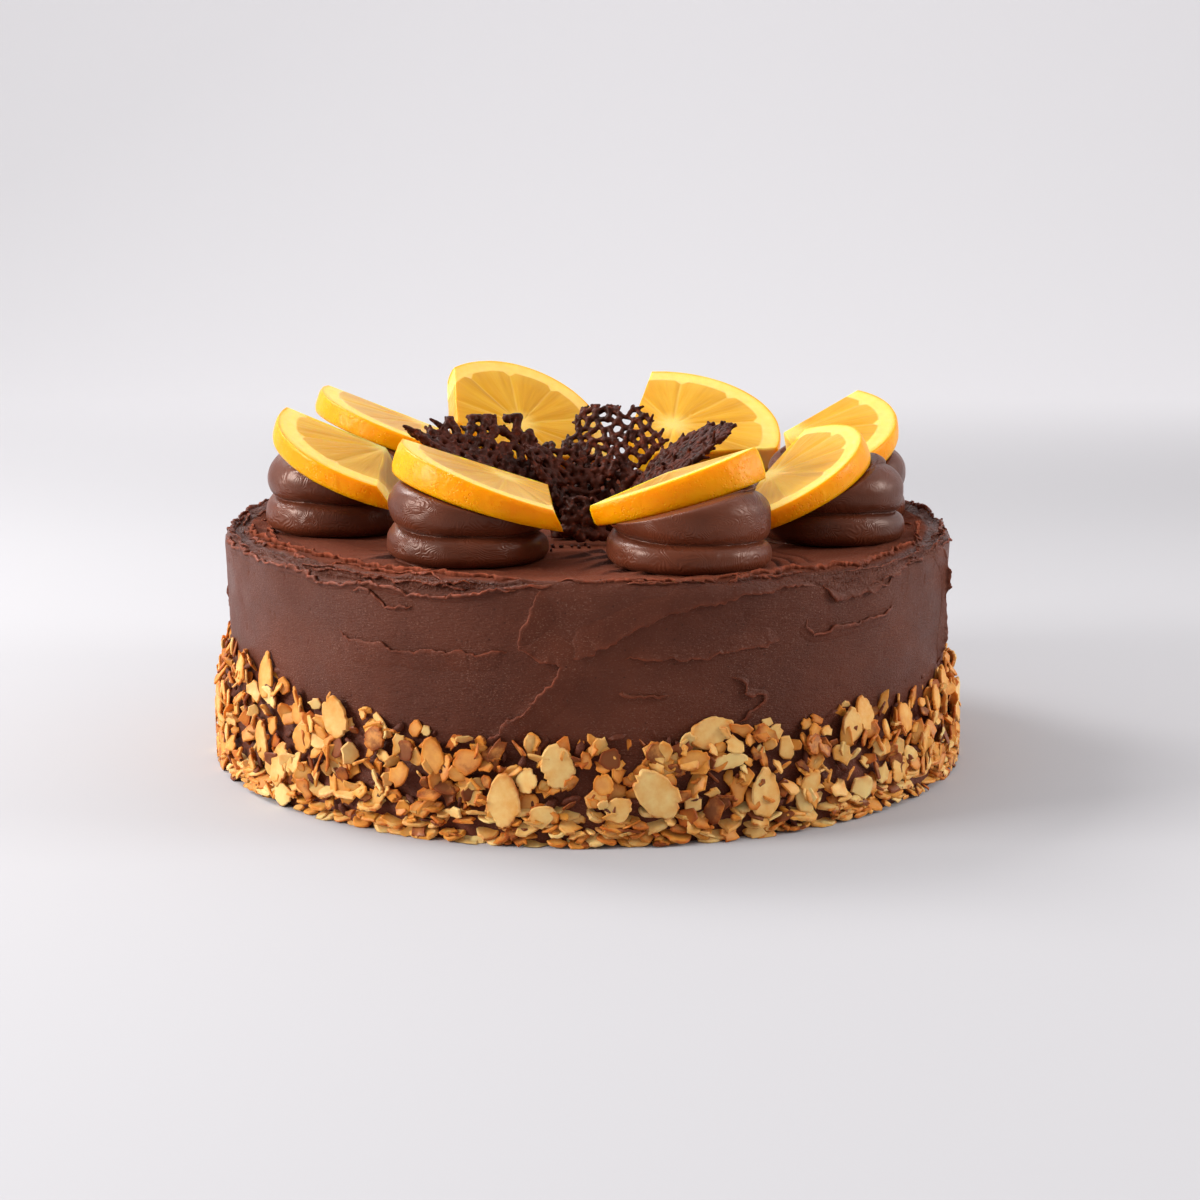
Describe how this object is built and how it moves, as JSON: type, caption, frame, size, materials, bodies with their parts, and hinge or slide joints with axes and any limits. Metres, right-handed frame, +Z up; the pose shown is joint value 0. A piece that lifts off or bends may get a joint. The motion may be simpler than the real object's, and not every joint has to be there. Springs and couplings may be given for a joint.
{
  "type": "chocolate orange cake",
  "caption": "Round frosted chocolate layer cake with piped swirls, leaning orange slices, chocolate lace and a toasted almond border",
  "frame": {"origin": "centre of the cake's flat underside, on the surface it stands on", "axes": "+Z is up along the cake's axis, -Y is the front, +X is to the right seen from the front"},
  "size_m": [0.2567, 0.2545, 0.1233],
  "materials": {
    "frosting": "smooth chocolate frosting with spatula marks",
    "almond": "toasted flaked almonds",
    "buttercream": "piped chocolate buttercream with a soft sheen",
    "orange": "moist orange rind, pith and flesh",
    "lace": "dark chocolate lace"
  },
  "bodies": {
    "root": {"frosted_cake": "frosting", "almond_border": "almond", "swirl_1": "buttercream", "swirl_2": "buttercream", "swirl_3": "buttercream", "swirl_4": "buttercream", "swirl_5": "buttercream", "swirl_6": "buttercream", "swirl_7": "buttercream", "swirl_8": "buttercream", "orange_slice_1": "orange", "orange_slice_2": "orange", "orange_slice_3": "orange", "orange_slice_4": "orange", "orange_slice_5": "orange", "orange_slice_6": "orange", "orange_slice_7": "orange", "orange_slice_8": "orange", "lace_left": "lace", "lace_back": "lace", "lace_right": "lace", "lace_front": "lace", "lace_heart": "lace"}
  },
  "joints": []
}
